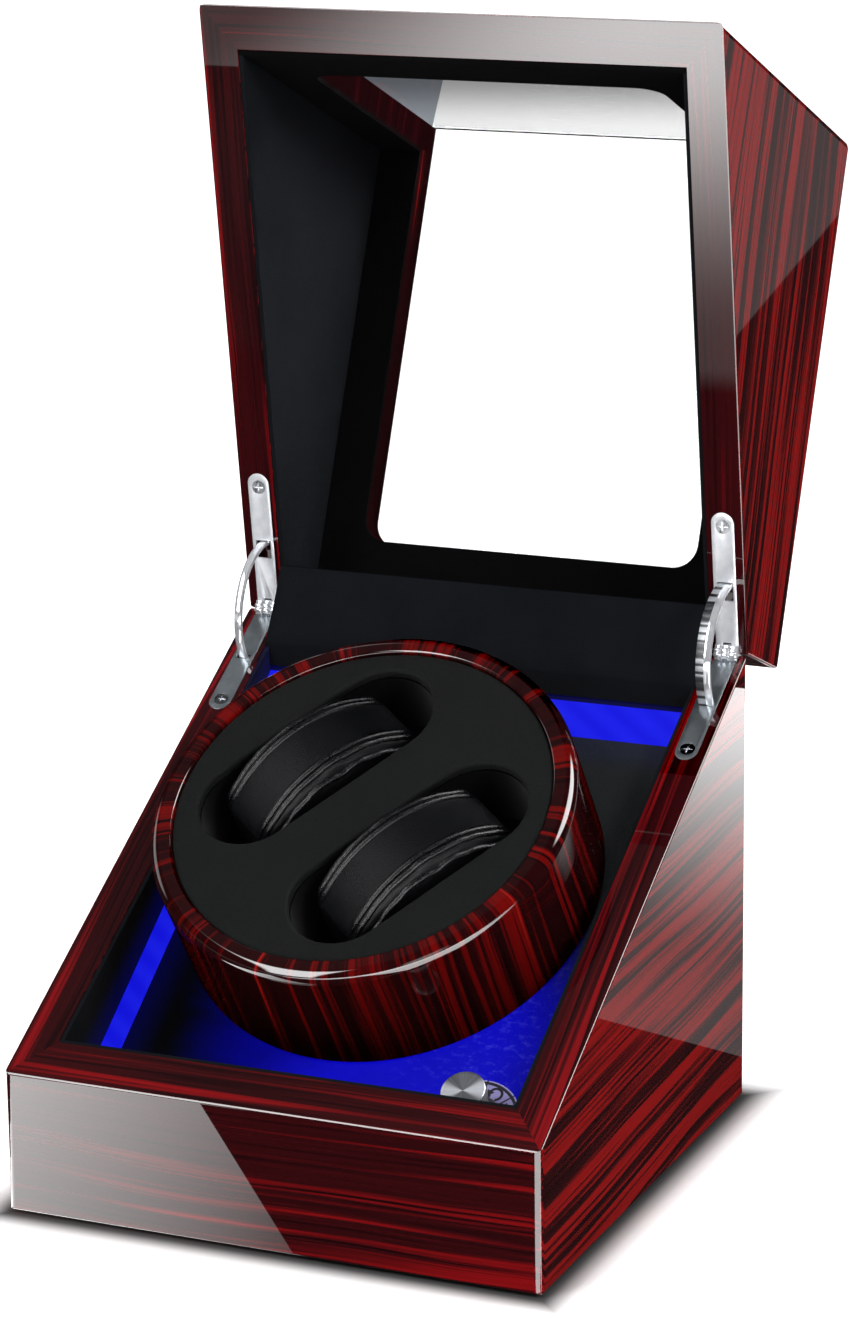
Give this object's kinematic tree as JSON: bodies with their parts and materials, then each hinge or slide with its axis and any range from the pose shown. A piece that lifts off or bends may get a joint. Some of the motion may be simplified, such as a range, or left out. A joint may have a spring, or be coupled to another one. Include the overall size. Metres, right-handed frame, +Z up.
{
  "type": "watch winder box",
  "caption": "Lacquered wooden watch winder box with a glazed stay-hinged lid, a sloping lit deck and a tilted turning drum with cushioned cups.",
  "frame": {"origin": "middle of the base's underside, where the felt meets the surface it stands on", "axes": "+X to the case's right, +Y to its back where the hinges are, +Z up; the lid stands open"},
  "size_m": [0.185, 0.2901, 0.3708],
  "materials": {
    "lacquered_wood": "gloss lacquer",
    "drum_wood": "gloss lacquer",
    "plain_wood": "satin",
    "black_lining": "suede",
    "felt": "felt",
    "leather": "grained",
    "face_leather": "grained",
    "clear_glass": "polished",
    "chrome": "polished",
    "steel": "plain",
    "bronze": "plain",
    "spun_aluminium": "spun",
    "black_plastic": "moulded",
    "white_plastic": "moulded",
    "light_diffuser": "translucent",
    "dial": "printed",
    "circuit_board": "solder mask",
    "lamp_board": "solder mask",
    "belt_rubber": "plain"
  },
  "bodies": {
    "base": {"base_front_panel": "lacquered_wood", "base_rear_panel": "lacquered_wood", "base_left_side": "lacquered_wood", "base_right_side": "lacquered_wood", "bottom_cover": "black_plastic", "felt_pad": "felt", "cover_screws": "steel", "base_liner_front": "black_lining", "base_liner_rear": "black_lining", "base_liner_left": "black_lining", "base_liner_right": "black_lining", "deck_panel": "black_lining", "deck_rails": "plain_wood", "light_strip_left": "light_diffuser", "light_strip_rear": "light_diffuser", "led_boards": "lamp_board", "bearing_tube": "black_plastic", "spindle_bushes": "bronze", "mechanism_screws": "steel", "motor_bracket": "steel", "motor": "steel", "drive_belt": "belt_rubber", "control_board": "circuit_board", "mode_switch": "black_plastic", "dial_plate": "dial", "power_socket": "black_plastic", "power_socket_nut": "steel", "hinge_base_leaves": "chrome", "hinge_pins": "chrome", "hinge_stays": "chrome", "hinge_base_screws": "steel"},
    "lid": {"lid_front_panel": "lacquered_wood", "lid_top_panel": "lacquered_wood", "lid_rear_panel": "lacquered_wood", "lid_left_side": "lacquered_wood", "lid_right_side": "lacquered_wood", "lid_liner_front": "black_lining", "lid_liner_top": "black_lining", "lid_liner_rear": "black_lining", "lid_liner_left": "black_lining", "lid_liner_right": "black_lining", "front_glass": "clear_glass", "top_glass": "clear_glass", "hinge_lid_leaves": "chrome", "hinge_lid_screws": "steel"},
    "drum": {"drum_ring": "drum_wood", "drum_face": "face_leather", "drum_back_plate": "plain_wood", "drum_hub": "white_plastic", "hub_screws": "steel", "spindle": "steel", "drive_wheel": "white_plastic", "cup_left": "black_plastic", "cup_right": "black_plastic"},
    "motor_rotor": {"motor_shaft": "steel", "motor_pulley": "white_plastic"},
    "knob": {"switch_shaft": "steel", "mode_knob": "spun_aluminium"},
    "cushion_left": {"cushion_left": "leather"},
    "cushion_right": {"cushion_right": "leather"}
  },
  "joints": [
    {"name": "lid_hinge", "type": "hinge", "parent": "base", "child": "lid", "pos_m": [0, 0.09301, 0.15719], "axis": [1, 0, 0], "range_deg": [0, 112.8]},
    {"name": "drum_spin", "type": "hinge", "parent": "base", "child": "drum", "pos_m": [0, 0.00815, 0.09003], "axis": [0, -0.5736, 0.8192], "continuous": true},
    {"name": "motor_spin", "type": "hinge", "parent": "base", "child": "motor_rotor", "pos_m": [0, -0.02462, 0.06709], "axis": [0, -0.5736, 0.8192], "continuous": true},
    {"name": "knob_turn", "type": "hinge", "parent": "base", "child": "knob", "pos_m": [0.057, -0.06066, 0.04185], "axis": [0, -0.5736, 0.8192], "range_deg": [0, 315]},
    {"name": "cushion_left_lift", "type": "slide", "parent": "drum", "child": "cushion_left", "axis": [0, -0.5736, 0.8192], "range_m": [0, 0.028]},
    {"name": "cushion_right_lift", "type": "slide", "parent": "drum", "child": "cushion_right", "axis": [0, -0.5736, 0.8192], "range_m": [0, 0.028]}
  ],
  "couplings": [
    {"joint": "motor_spin", "follows": "drum_spin", "ratio": 4.363}
  ]
}
